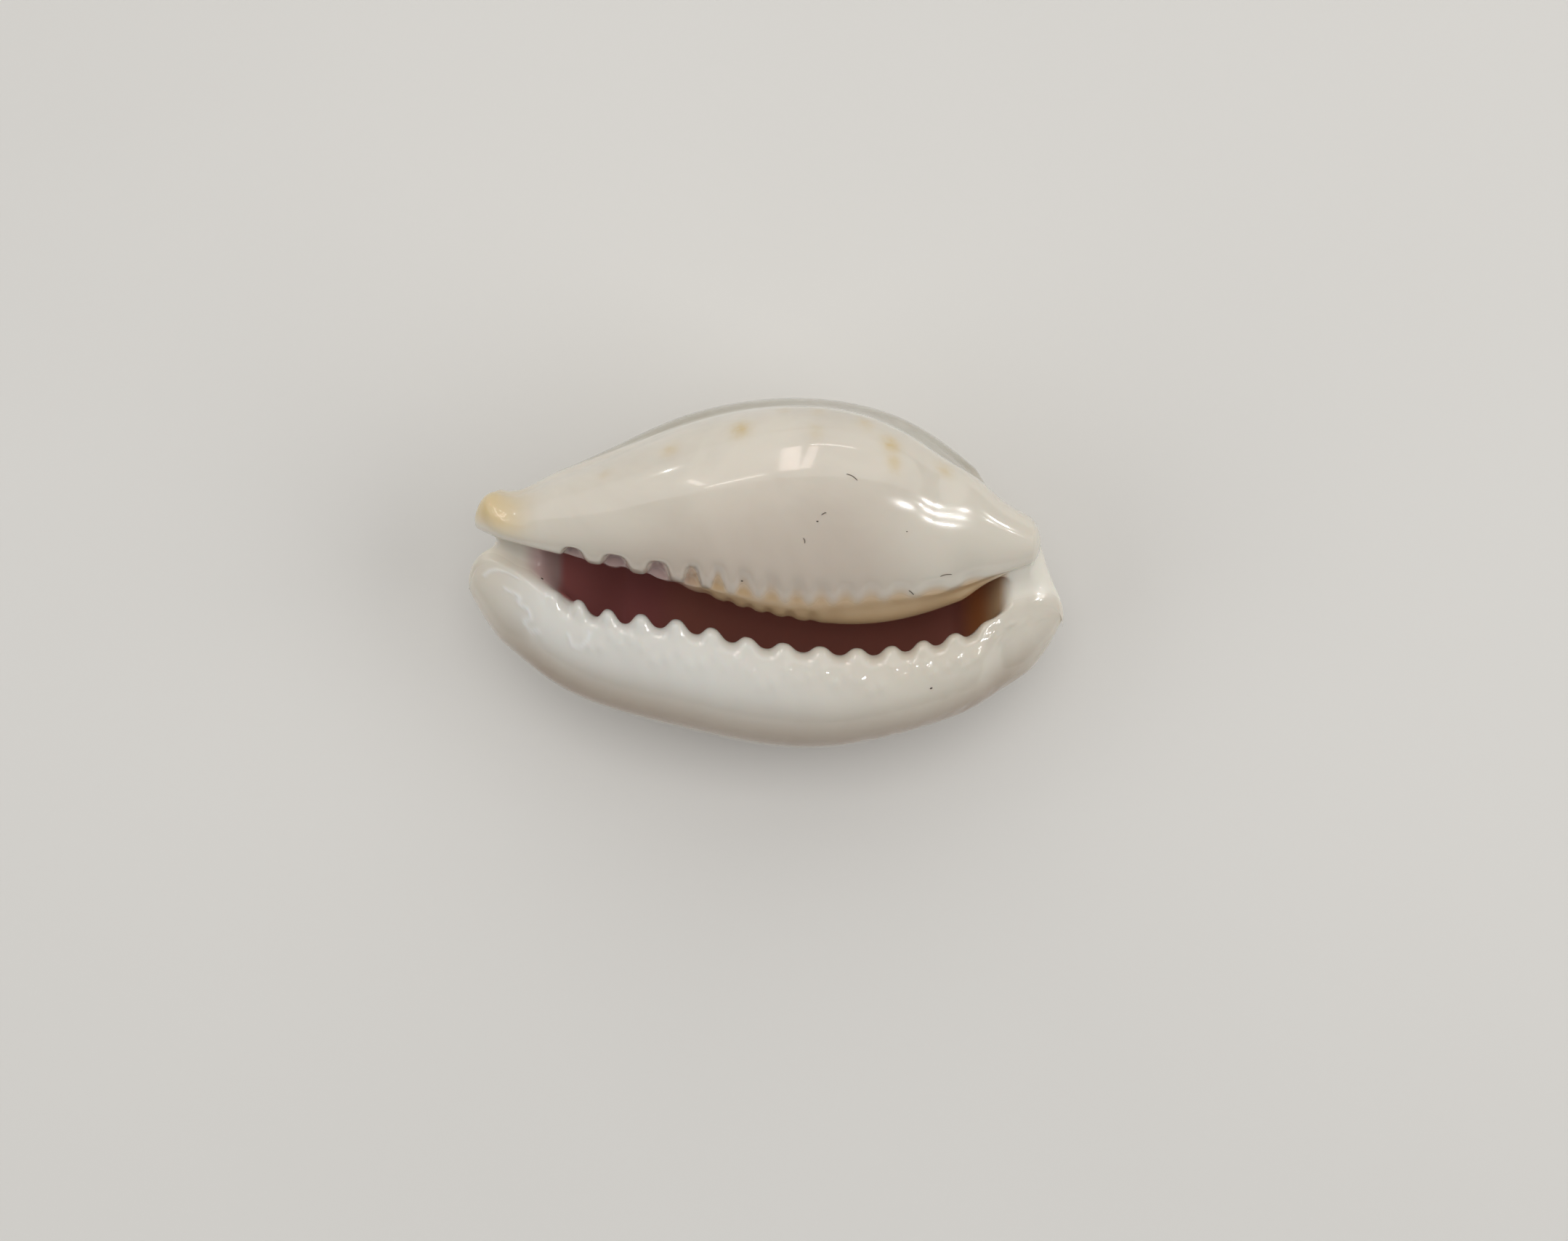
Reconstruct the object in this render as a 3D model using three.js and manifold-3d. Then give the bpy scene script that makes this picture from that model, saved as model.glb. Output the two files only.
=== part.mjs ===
// A small cowrie shell, lying on its back with the toothed slit up and rolled a little towards -Y.
// The shell grew as one piece: a thick porcelain wall rolled round a hollow body whorl. The thick outer
// lip faces the inner lip, the columella, across a slit that is open from end to end.
//
// Lengths are in millimetres. The shell is first drawn in its own axes:
//   x     along the shell, from the front canal (-) to the spire end (+)
//   side  across the base, from the outer lip (-) to the columella (+)
//   out   out of the base, so the back of the shell lies at negative values
// The wall is a stack of closed loops. Each loop runs from the outer lip's toothed edge over the lip,
// round the back, over the columella's base to its teeth, and home again through the hollow.
import * as THREE from "three";
import { mergeVertices } from "three/addons/utils/BufferGeometryUtils.js";
import Module from "manifold-3d";

const wasm = await Module();
wasm.setup();

// Driving dimensions
const SHELL_LENGTH = 25;
const APERTURE_ELEVATION = 60; // degrees between the direction out of the base and the level ground
const REST_FLAT_DEPTH = 0.4; // how deep the worn spot that it rests on cuts into the back

// Where the loops stop following the body and start to close over the two ends
const FRONT_CAP_X = -0.44 * SHELL_LENGTH;
const REAR_CAP_X = 0.438 * SHELL_LENGTH;

// How finely the solid is faceted
const BODY_STATIONS = 84;
const CAP_STATIONS = 6;
const POINTS_PER_SIDE = 25; // loop points on the outside, and as many on the inside
const CROWDING = 0.35;

// A smooth curve (natural cubic spline) through a few [x, value] stations, straight beyond them
function along(stations) {
  const n = stations.length;
  const x = stations.map(([at]) => at);
  const y = stations.map(([, value]) => value);
  const bend = new Array(n).fill(0);
  const carry = new Array(n).fill(0);
  for (let i = 1; i < n - 1; i++) {
    const before = x[i] - x[i - 1];
    const after = x[i + 1] - x[i];
    const turn = (y[i + 1] - y[i]) / after - (y[i] - y[i - 1]) / before;
    const pivot = 2 * (before + after) - before * carry[i - 1];
    carry[i] = after / pivot;
    bend[i] = (6 * turn - before * bend[i - 1]) / pivot;
  }
  for (let i = n - 2; i > 0; i--) bend[i] -= carry[i] * bend[i + 1];
  return (at) => {
    const inside = Math.min(Math.max(at, x[0]), x[n - 1]);
    let i = 0;
    while (i < n - 2 && inside > x[i + 1]) i++;
    const h = x[i + 1] - x[i];
    const a = (x[i + 1] - inside) / h;
    const b = 1 - a;
    const value = a * y[i] + b * y[i + 1] + (((a ** 3 - a) * bend[i] + (b ** 3 - b) * bend[i + 1]) * h * h) / 6;
    const slope = (y[i + 1] - y[i]) / h + (((3 * b * b - 1) * bend[i + 1] - (3 * a * a - 1) * bend[i]) * h) / 6;
    return value + slope * (at - inside);
  };
}

// The base: the slit's centre line, its half width, and how far the base line lies behind its middle
const slitSide = along([
  [-11, 2.6], [-8, 1.67], [-5.5, 1.3], [-3, 0.86], [-0.8, 0.25], [2.3, -0.14], [5.3, -0.08], [8, 0.33],
  [10.95, 1.08],
]);
const slitHalfWidth = along([
  [-11, 0.7], [-8, 1.05], [-4, 0.84], [-0.8, 0.66], [1.5, 0.61], [4, 0.85], [7, 0.91], [9.5, 0.95], [10.95, 0.97],
]);
const baseLevel = along([[-11, -2], [-8, -1.1], [-4, -0.3], [1, 0], [5, -0.25], [8.5, -1.05], [10.95, -1.95]]);

// The outline of the base: how far the two margins lie from the shell's long axis
const lipMargin = along([
  [-11, -1.9], [-9, -3.6], [-6, -4.95], [-3, -5.85], [1.5, -6.65], [5, -6.2], [8, -5.2], [10.95, -3.4],
]);
const columellaMargin = along([
  [-11.2, 4.86], [-10.6, 4.64], [-9.2, 5.1], [-8, 5.52], [-4, 6.94], [0, 7.9], [3, 7.95], [6, 7], [8.5, 5.2],
  [9.6, 4.3], [10.95, 3.55],
]);

// The back swells past the columella's margin until it drops steeply to the spire end
const backSwell = along([[-11, 0.1], [-8, 0.35], [-4, 0.6], [0, 0.5], [5, 0.5], [9, 0.75]]);
const HUMP_END = [8.7, 9.6];

// The side profile: how far the back lies below the base line
const bodyDepth = along([
  [-11, 3.9], [-8.5, 6.2], [-5, 9.5], [-1, 11.85], [2, 11.95], [5, 11], [7.5, 9], [9.3, 6.4], [10.95, 4.4],
]);

// How far the smooth ledge below the columella's teeth stands from the slit's centre line
const ledgeSide = along([
  [-8, 0.3], [-6, 0.5], [-3.2, 0.1], [0.7, -0.2], [3.5, -0.5], [5.5, -0.46], [7, -0.27], [8.2, -0.05], [11, 0.4],
]);

// 0 in the two open canals, 1 where the hollow is full
function hollow(x) {
  const front = THREE.MathUtils.smoothstep(x, -9.6, -6);
  const rear = THREE.MathUtils.smoothstep(x, 8, 10.4);
  return front * (1 - rear);
}

// The outside of a loop: [share of the way to a margin, share of the depth]. The lip and the columella are
// measured from their own edge of the slit, the back from the slit's centre line
const LIP = [
  [0, 0.095], // toothed edge of the outer lip
  [0.2, 0.008],
  [0.44, -0.012],
  [0.74, 0.035],
  [0.96, 0.15],
  [1.04, 0.31], // margin of the outer lip
  [1, 0.5],
  [0.84, 0.74],
  [0.44, 0.95],
];
const BACK = [
  [0.03, 1.03], // top of the back
  [0.44, 0.96],
  [0.79, 0.77],
  [0.92, 0.58],
];
const COLUMELLA = [
  [0.965, 0.485], // rim along the columella's margin
  [1.02, 0.36],
  [0.98, 0.19],
  [0.78, 0.055],
  [0.48, -0.005],
  [0.24, -0.01],
  [0.1, 0.025],
  [0, 0.08], // teeth of the columella
];

// The inside of a loop, from the columella home to the outer lip. Ledge and canal points are measured in
// shares of the slit's half width, hollow points in shares of the way to the margin
const LEDGE = [
  { hollow: [0.5, 0.125], canal: [0.96, 0.2] },
  { hollow: [0, 0.19], canal: [0.88, 0.3] },
  { hollow: [0.2, 0.29], canal: [0.74, 0.37] },
];
const CHAMBER = [
  { hollow: [0.12, 0.39], canal: [0.56, 0.42] },
  { hollow: [0.41, 0.43], canal: [0.38, 0.45] },
  { hollow: [0.73, 0.56], canal: [0.22, 0.47] },
  { hollow: [0.57, 0.8], canal: [0.1, 0.48] },
  { hollow: [0.05, 0.92], canal: [0, 0.48] },
  { hollow: [-0.52, 0.8], canal: [-0.15, 0.47] },
  { hollow: [-0.79, 0.53], canal: [-0.3, 0.45] },
  { hollow: [-0.75, 0.31], canal: [-0.45, 0.41] },
  { hollow: [-0.54, 0.22], canal: [-0.65, 0.33] },
  { hollow: [-0.28, 0.165], canal: [-0.85, 0.22] },
];

// The same points where a loop's shape changes towards the ends. The lip's edge rolls softly into the open
// canals, and at the rear the columella ends in a broad round tip
const FRONT_LIP = [[0, 0.15], [0.16, 0.085], [0.4, 0.035], [0.74, 0.05], [0.96, 0.16]];
const REAR_LIP = [[0, 0.135], [0.15, 0.11], [0.38, 0.09], [0.7, 0.09], [0.96, 0.18]];
const ROUND_TIP = [
  [0.96, 0.5],
  [1.14, 0.37],
  [1.2, 0.22],
  [1.02, 0.09],
  [0.7, 0.015],
  [0.36, 0.01],
  [0.1, 0.06],
  [0, 0.14],
];
const CANAL_EDGE = 0.12; // share of the depth at which a canal's wall starts
const FRONT_CANAL_DEPTH = 0.5; // how much of its depth below that edge each canal keeps at its mouth
const REAR_CANAL_DEPTH = 0.3;

const FOLD = LIP.length + BACK.length + COLUMELLA.length - 1; // where the outside ends and the inside starts
const LOOP = FOLD + 1 + LEDGE.length + CHAMBER.length;

// Points moved towards others by an amount from 0 to 1. The shorter list moves only its own
function blend(points, others, amount) {
  return points.map((point, i) => {
    if (i >= others.length) return point;
    return point.map((value, axis) => THREE.MathUtils.lerp(value, others[i][axis], amount));
  });
}

// The guide points of the loop at x, as [side, out]
function guidePoints(x) {
  const centre = slitSide(x);
  const gap = slitHalfWidth(x);
  const base = baseLevel(x);
  const depth = bodyDepth(x);
  const full = hollow(x);
  const ledge = ledgeSide(x);
  const lipReach = centre - lipMargin(x);
  const columellaReach = columellaMargin(x) - centre;
  const humpOver = THREE.MathUtils.smoothstep(x, ...HUMP_END);
  const backReach = columellaReach + backSwell(x) * (1 - humpOver);
  const inward = (inHollow, inCanal) => centre + THREE.MathUtils.lerp(inCanal * gap, inHollow, full);
  const frontMouth = 1 - THREE.MathUtils.smoothstep(x, -9.5, -8);
  const rearMouth = THREE.MathUtils.smoothstep(x, 8.4, 9.8);
  const kept = 1 - (1 - FRONT_CANAL_DEPTH) * frontMouth - (1 - REAR_CANAL_DEPTH) * rearMouth;
  const below = (inHollow, inCanal) => {
    const shallow = CANAL_EDGE + (inCanal - CANAL_EDGE) * kept;
    return base - THREE.MathUtils.lerp(shallow, inHollow, full) * depth;
  };
  const frontLip = blend(LIP, FRONT_LIP, 1 - THREE.MathUtils.smoothstep(x, -10.8, -9.2));
  const lip = blend(frontLip, REAR_LIP, THREE.MathUtils.smoothstep(x, 8.8, 10.2));
  const columella = blend(COLUMELLA, ROUND_TIP, THREE.MathUtils.smoothstep(x, 6.8, 9.8));
  return [
    ...lip.map(([share, down]) => [centre - gap - share * (lipReach - gap), base - down * depth]),
    ...BACK.map(([share, down]) => [centre + share * backReach, base - down * depth]),
    ...columella.map(([share, down]) => [centre + gap + share * (columellaReach - gap), base - down * depth]),
    ...LEDGE.map(({ hollow: [share, down], canal }) => [
      inward(ledge + share * gap, canal[0]),
      below(down, canal[1]),
    ]),
    ...CHAMBER.map(({ hollow: [share, down], canal }) => [
      inward(share * (share < 0 ? lipReach : columellaReach), canal[0]),
      below(down, canal[1]),
    ]),
  ];
}

// A point of the closed cubic B-spline over the guide points
function onLoop(guides, t) {
  const i = Math.floor(t);
  const u = t - i;
  const weights = [(1 - u) ** 3, 3 * u ** 3 - 6 * u ** 2 + 4, -3 * u ** 3 + 3 * u ** 2 + 3 * u + 1, u ** 3];
  const point = [0, 0];
  weights.forEach((weight, k) => {
    const guide = guides[(i + k - 1 + LOOP) % LOOP];
    point[0] += (weight * guide[0]) / 6;
    point[1] += (weight * guide[1]) / 6;
  });
  return point;
}

// Teeth: each tooth's number as a function of x, with a whole number at its crest
const lipToothNumber = along([[-8.85, 0], [-6.54, 2], [-3.7, 4], [0.72, 7], [5.18, 10], [7.8, 12], [9.2, 13]]);
const columellaToothNumber = along([
  [-7.07, 0], [-5.27, 1], [-3.65, 2], [-2.46, 3], [-1.45, 4], [-0.32, 5], [2.72, 8], [6.1, 11], [7.7, 12],
  [9.3, 13],
]);
const ledgeScallopNumber = along([[-6.35, 0], [-4.29, 2], [-1.94, 4], [-0.32, 6], [2.4, 9]]);
const LIP_TOOTH_HEIGHT = 0.48;
const COLUMELLA_TOOTH_HEIGHT = 0.34;
const LEDGE_SCALLOP_HEIGHT = 0.09;

// How high the teeth are along the shell, as shares of those heights, and how far the columella's teeth run
const lipToothShare = along([[-8.5, 1], [-3, 0.95], [-0.5, 0.74], [5, 0.7], [9, 0.7]]);
const columellaToothShare = along([
  [-8.5, 1.7], [-5.3, 1.5], [-3.6, 1.1], [-2, 0.66], [1, 0.3], [6, 0.26], [9, 0.34],
]);
const columellaToothReach = along([[-8, 3.1], [-5.3, 2.4], [-2, 1.7], [2, 1.3], [8, 1.3]]);
const columellaToothEnd = along([
  [-8, 20.8], [-5.3, 20.3], [-3.6, 19.8], [-2.4, 19.4], [0, 19.05], [3.7, 19.2], [8, 19.4],
]); // loop parameter

// A wave from -1 to 0, highest at each whole tooth number. The crests are broader for more breadth
function toothWave(number, breadth) {
  const turn = Math.cos(2 * Math.PI * number);
  return -((0.5 - (turn * (1.25 - 0.25 * turn * turn)) / 2) ** breadth);
}

function bump(t, from, fullFrom, fullTo, to) {
  return THREE.MathUtils.smoothstep(t, from, fullFrom) * (1 - THREE.MathUtils.smoothstep(t, fullTo, to));
}

// How far the teeth lift the wall at x and loop parameter t
function toothLift(x, t) {
  const fromLipEdge = t > LOOP / 2 + FOLD / 2 ? t - LOOP : t;
  const alongLip = bump(x, -9.6, -7.6, 8.4, 10);
  const lipShare = lipToothShare(x);
  const lipTeeth = bump(fromLipEdge, -1.4, -0.3, 0, 0.75) * lipShare * toothWave(lipToothNumber(x), 1);
  const lipEdge = bump(fromLipEdge, -1.4, -0.3, 0, 0.7) * (lipShare - 0.5);
  const end = columellaToothEnd(x);
  const reach = columellaToothReach(x);
  const alongColumella = bump(x, -8.6, -7.9, 8, 10);
  const onColumella = bump(t, end - reach, end - 0.6 * reach, end - 0.4, end + 0.1) * alongColumella;
  const breadth = 1.4 - 0.5 * THREE.MathUtils.smoothstep(x, -3.5, 0);
  const columellaTeeth = columellaToothShare(x) * (toothWave(columellaToothNumber(x), breadth) + 0.12);
  const onLedge = bump(t, FOLD - 0.4, FOLD + 0.4, FOLD + 2, FOLD + 3) * bump(x, -8, -6.6, 1.2, 3);
  return (
    LIP_TOOTH_HEIGHT * alongLip * (lipTeeth + lipEdge) +
    COLUMELLA_TOOTH_HEIGHT * onColumella * columellaTeeth +
    LEDGE_SCALLOP_HEIGHT * onLedge * (toothWave(ledgeScallopNumber(x), 1.5) + 0.4)
  );
}

// A point of the wall at x and t, as [side, out]
function onWall(guides, x, t) {
  const [side, out] = onLoop(guides, t);
  const lift = toothLift(x, t);
  if (lift === 0) return [side, out];
  const step = 0.01;
  const [sideAfter, outAfter] = onLoop(guides, (t + step) % LOOP);
  const run = Math.hypot(sideAfter - side, outAfter - out);
  return [side + (lift * (outAfter - out)) / run, out - (lift * (sideAfter - side)) / run];
}

// The two end rims, which the loops close onto: [x, side, out] from the outer lip's edge, over its tip, the
// notch of the canal and the columella's tip, to the columella's edge
const FRONT_RIM = [
  [-12.35, 0.6, -3.0],
  [-12.45, 0.65, -3.3],
  [-12.0, 0.9, -4.1],
  [-11.35, 2.4, -4.4],
  [-11.8, 3.6, -3.95],
  [-12.05, 3.8, -3.25],
  [-11.98, 3.65, -2.8],
];
const REAR_RIM = [
  [12.47, -1.1, -3.0],
  [12.5, -0.6, -3.35],
  [12.15, 0.35, -3.9],
  [11.6, 1.9, -4.2],
  [11.32, 2.9, -4.0],
  [11.38, 3.05, -3.25],
  [11.34, 2.85, -2.8],
];
function rimCurve(points) {
  const axes = [0, 1, 2].map((axis) => along(points.map((point, i) => [i / (points.length - 1), point[axis]])));
  return (share) => axes.map((axis) => axis(crowded(share)));
}
const frontRim = rimCurve(FRONT_RIM);
const rearRim = rimCurve(REAR_RIM);

// A share from 0 to 1, moved so that the points lie closer together at both toothed edges
function crowded(share) {
  return share - (CROWDING * Math.sin(2 * Math.PI * share)) / (2 * Math.PI);
}

// Loop parameters of the sampled points, outside first
function loopParameters() {
  const shares = Array.from({ length: POINTS_PER_SIDE }, (_, j) => crowded(j / POINTS_PER_SIDE));
  return [...shares.map((share) => FOLD * share), ...shares.map((share) => FOLD + (LOOP - FOLD) * share)];
}

// A ring of points round the body at x, [x, side, out] each
function bodyRing(parameters, x) {
  const guides = guidePoints(x);
  return parameters.map((t) => [x, ...onWall(guides, x, t)]);
}

// A ring over an end. Turn goes from 0 at the body to 90 degrees at the rim
function capRing(parameters, rim, capX, turn) {
  const count = parameters.length;
  const open = Math.cos(turn);
  return parameters.map((t, j) => {
    const end = rim(Math.min(j, count - j) / (count / 2));
    const x = capX + (end[0] - capX) * Math.sin(turn);
    const [side, out] = onWall(guidePoints(x), x, t);
    return [x, end[1] + (side - end[1]) * open, end[2] + (out - end[2]) * open];
  });
}

function buildShell() {
  const parameters = loopParameters();
  const count = parameters.length;
  const rings = [];
  for (let k = CAP_STATIONS - 1; k > 0; k--) {
    rings.push(capRing(parameters, frontRim, FRONT_CAP_X, (k / CAP_STATIONS) * (Math.PI / 2)));
  }
  for (let k = 0; k <= BODY_STATIONS; k++) {
    rings.push(bodyRing(parameters, FRONT_CAP_X + ((REAR_CAP_X - FRONT_CAP_X) * k) / BODY_STATIONS));
  }
  for (let k = 1; k < CAP_STATIONS; k++) {
    rings.push(capRing(parameters, rearRim, REAR_CAP_X, (k / CAP_STATIONS) * (Math.PI / 2)));
  }
  const points = rings.flat();
  const faces = [];
  for (let i = 0; i < rings.length - 1; i++) {
    for (let j = 0; j < count; j++) {
      const a = i * count + j;
      const b = i * count + ((j + 1) % count);
      faces.push(a, b, a + count, b, b + count, a + count);
    }
  }
  closeEnd(points, faces, 0, frontRim, count, false);
  closeEnd(points, faces, (rings.length - 1) * count, rearRim, count, true);

  const geometry = new THREE.BufferGeometry();
  geometry.setAttribute("position", new THREE.Float32BufferAttribute(points.flat(), 3));
  geometry.setIndex(faces);
  return geometry;
}

// Closes a ring onto its rim like a zip: the outside point j and the inside point opposite share one point
function closeEnd(points, faces, ringStart, rim, count, rear) {
  const rimStart = points.length;
  for (let j = 0; j <= count / 2; j++) points.push(rim(j / (count / 2)));
  const onRim = (j) => rimStart + Math.min(j, count - j);
  for (let j = 0; j < count; j++) {
    const a = ringStart + j;
    const b = ringStart + ((j + 1) % count);
    const c = onRim(j);
    const d = onRim(j + 1);
    if (rear) faces.push(a, b, c, b, d, c);
    else faces.push(a, c, b, b, c, d);
  }
}

// The closed solid inside a geometry
function toSolid(geometry) {
  const bare = geometry.clone();
  bare.deleteAttribute("normal");
  bare.deleteAttribute("uv");
  const merged = mergeVertices(bare);
  const vertProperties = merged.getAttribute("position").array;
  return new wasm.Manifold(new wasm.Mesh({ numProp: 3, vertProperties, triVerts: merged.index.array }));
}

// Turns the shell to how it lies, wears the resting spot flat, and sets it down at the origin
function layDown(geometry) {
  geometry.rotateX(THREE.MathUtils.degToRad(90 - APERTURE_ELEVATION));
  geometry.computeBoundingBox();
  const ground = geometry.boundingBox.min.z + REST_FLAT_DEPTH;
  const worn = new THREE.BoxGeometry(SHELL_LENGTH, SHELL_LENGTH, SHELL_LENGTH);
  worn.translate(0, 0, ground - SHELL_LENGTH / 2);
  const mesh = toSolid(geometry).subtract(toSolid(worn)).getMesh();
  const lying = new THREE.BufferGeometry();
  lying.setAttribute("position", new THREE.Float32BufferAttribute(mesh.vertProperties, mesh.numProp));
  lying.setIndex(Array.from(mesh.triVerts));
  lying.computeBoundingBox();
  const { min, max } = lying.boundingBox;
  lying.translate(-(min.x + max.x) / 2, -(min.y + max.y) / 2, -min.z);
  lying.computeVertexNormals();
  return lying;
}

const porcelain = new THREE.MeshStandardMaterial({ color: 0xe6e0d2, roughness: 0.2, metalness: 0 });
const shell = new THREE.Mesh(layDown(buildShell()), porcelain);
shell.name = "cowrie_shell";

const cowrie = new THREE.Group();
cowrie.add(shell);

export default cowrie;
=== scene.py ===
"""A small glossy cowrie shell lying on its back, slit up, on a pale studio floor.

The shell's shape is worked out in millimetres in the shell's own axes: x along it from the front canal to
the spire end, side across its base from the outer lip to the columella, and out of the base. It is a stack
of closed loops. A place on a loop is its turn: 0 is the outer lip's toothed edge, the outside runs over the
lip, the back and the columella to the columella's teeth, and the inside runs home through the hollow.
"""

import math

import bpy
import numpy as np
from mathutils import Matrix, Vector


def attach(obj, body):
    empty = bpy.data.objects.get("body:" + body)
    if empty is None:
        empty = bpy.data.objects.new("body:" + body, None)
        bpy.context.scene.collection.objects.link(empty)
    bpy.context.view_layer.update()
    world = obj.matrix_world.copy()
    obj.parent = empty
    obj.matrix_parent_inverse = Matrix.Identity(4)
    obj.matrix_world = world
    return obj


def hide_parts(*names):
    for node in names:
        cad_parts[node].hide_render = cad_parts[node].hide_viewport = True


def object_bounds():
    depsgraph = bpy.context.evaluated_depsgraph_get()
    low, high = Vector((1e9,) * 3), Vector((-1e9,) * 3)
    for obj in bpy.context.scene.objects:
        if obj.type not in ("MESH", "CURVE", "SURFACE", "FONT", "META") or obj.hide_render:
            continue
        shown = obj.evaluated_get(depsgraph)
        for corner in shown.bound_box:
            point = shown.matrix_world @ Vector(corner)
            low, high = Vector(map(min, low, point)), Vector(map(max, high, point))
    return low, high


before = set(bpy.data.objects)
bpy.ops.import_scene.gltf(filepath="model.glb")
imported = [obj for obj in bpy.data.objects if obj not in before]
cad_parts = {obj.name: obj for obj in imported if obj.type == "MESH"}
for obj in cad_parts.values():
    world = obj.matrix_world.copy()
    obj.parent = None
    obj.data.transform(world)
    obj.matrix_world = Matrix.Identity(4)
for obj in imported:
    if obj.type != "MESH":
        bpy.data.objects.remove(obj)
CAD_BOX = [list(corner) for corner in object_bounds()]

bl_info = {
    "name": "Cowrie shell",
    "version": (1, 0, 0),
    "blender": (4, 5, 0),
    "location": "View3D > Sidebar > Cowrie",
    "description": "Builds a glossy cowrie shell with toothed lips, and a small studio for it",
    "category": "Object",
}

MM = 0.001


def colour(red, green, blue):
    """A screen colour, 0 to 255, as the linear colour that Blender's sockets hold."""
    shares = [c / 255 for c in (red, green, blue)]
    return tuple(c / 12.92 if c <= 0.04045 else ((c + 0.055) / 1.055) ** 2.4 for c in shares)


# Shape


def spline(stations):
    """A smooth curve (natural cubic spline) through [x, value] stations, straight beyond them."""
    x, y = np.array(stations, float).T
    n = len(x)
    gap = np.diff(x)
    slope = np.diff(y) / gap
    system = np.zeros((n, n))
    pull = np.zeros(n)
    system[0, 0] = system[-1, -1] = 1
    for i in range(1, n - 1):
        system[i, i - 1 : i + 2] = gap[i - 1], 2 * (gap[i - 1] + gap[i]), gap[i]
        pull[i] = 6 * (slope[i] - slope[i - 1])
    bend = np.linalg.solve(system, pull)

    def at(places):
        inside = np.clip(places, x[0], x[-1])
        i = np.clip(np.searchsorted(x, inside) - 1, 0, n - 2)
        h = gap[i]
        a = (x[i + 1] - inside) / h
        b = 1 - a
        value = a * y[i] + b * y[i + 1] + ((a**3 - a) * bend[i] + (b**3 - b) * bend[i + 1]) * h * h / 6
        lean = slope[i] + ((3 * b * b - 1) * bend[i + 1] - (3 * a * a - 1) * bend[i]) * h / 6
        return value + lean * (places - inside)

    return at


def path_through(points, at):
    """Places on a smooth path through points; at runs from 0 at the first point to 1 at the last."""
    marks = np.linspace(0, 1, len(points))
    return np.stack([spline(np.stack([marks, axis], -1))(at) for axis in np.array(points).T], -1)


def rise(value, start, end):
    """0 before start, 1 after end, and a smooth step between them."""
    share = np.clip((value - start) / (end - start), 0, 1)
    return share * share * (3 - 2 * share)


def plateau(value, start, full, full_end, end):
    """Rises from start to full and falls from full_end to end."""
    return rise(value, start, full) * (1 - rise(value, full_end, end))


def hump(value, middle, width):
    """A bell of height 1 round middle."""
    return np.exp(-(((value - middle) / width) ** 2))


# Curves along the shell, as [x, value] stations in millimetres
slit_side = spline(
    [
        [-11, 2.6], [-8, 1.67], [-5.5, 1.3], [-3, 0.86], [-0.8, 0.25], [2.3, -0.14],
        [5.3, -0.08], [8, 0.33], [10.95, 1.08],
    ]
)
slit_half_width = spline(
    [
        [-11, 0.7], [-8, 1.05], [-4, 0.84], [-0.8, 0.66], [1.5, 0.61], [4, 0.85],
        [7, 0.91], [9.5, 0.95], [10.95, 0.97],
    ]
)
base_level = spline([[-11, -2], [-8, -1.1], [-4, -0.3], [1, 0], [5, -0.25], [8.5, -1.05], [10.95, -1.95]])
lip_margin = spline(
    [
        [-11, -1.9], [-9, -3.6], [-6, -4.95], [-3, -5.85], [1.5, -6.65], [5, -6.2],
        [8, -5.2], [10.95, -3.4],
    ]
)
columella_margin = spline(
    [
        [-11.2, 4.86], [-10.6, 4.64], [-9.2, 5.1], [-8, 5.52], [-4, 6.94], [0, 7.9],
        [3, 7.95], [6, 7], [8.5, 5.2], [9.6, 4.3], [10.95, 3.55],
    ]
)
back_swell = spline([[-11, 0.1], [-8, 0.35], [-4, 0.6], [0, 0.5], [5, 0.5], [9, 0.75]])
body_depth = spline(
    [
        [-11, 3.9], [-8.5, 6.2], [-5, 9.5], [-1, 11.85], [2, 11.95], [5, 11], [7.5, 9],
        [9.3, 6.4], [10.95, 4.4],
    ]
)
ledge_side = spline(
    [
        [-8, 0.3], [-6, 0.5], [-3.2, 0.1], [0.7, -0.2], [3.5, -0.5], [5.5, -0.46],
        [7, -0.27], [8.2, -0.05], [11, 0.4],
    ]
)
SHELL_LENGTH = 25
APERTURE_ELEVATION = 60  # degrees from the floor up to where the slit faces
REST_FLAT_DEPTH = 0.4
FRONT_CAP_X = -11.0
REAR_CAP_X = 10.95
# The stretches of x over which a form starts or ends
HUMP_END = (8.7, 9.6)
FRONT_LIP_END = (-10.8, -9.2)
REAR_LIP_START = (8.8, 10.2)
ROUND_TIP_START = (6.8, 9.8)
FRONT_CANAL_END = (-9.5, -8)
REAR_CANAL_START = (8.4, 9.8)
LOW_TEETH_START = (-3.5, 0)  # behind it the columella's teeth are low and close together
# The stretch of x with the full hollow, between the open canals, as (start, full, end of full, end)
HOLLOW_X = (-9.6, -6, 8, 10.4)

# The guide points of a loop, as [share of the way to the margin, share of the depth]
LIP = [
    [0, 0.095], [0.2, 0.008], [0.44, -0.012], [0.74, 0.035], [0.96, 0.15], [1.04, 0.31],
    [1, 0.5], [0.84, 0.74], [0.44, 0.95],
]
BACK = [[0.03, 1.03], [0.44, 0.96], [0.79, 0.77], [0.92, 0.58]]
COLUMELLA = [
    [0.965, 0.485], [1.02, 0.36], [0.98, 0.19], [0.78, 0.055], [0.48, -0.005],
    [0.24, -0.01], [0.1, 0.025], [0, 0.08],
]
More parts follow.
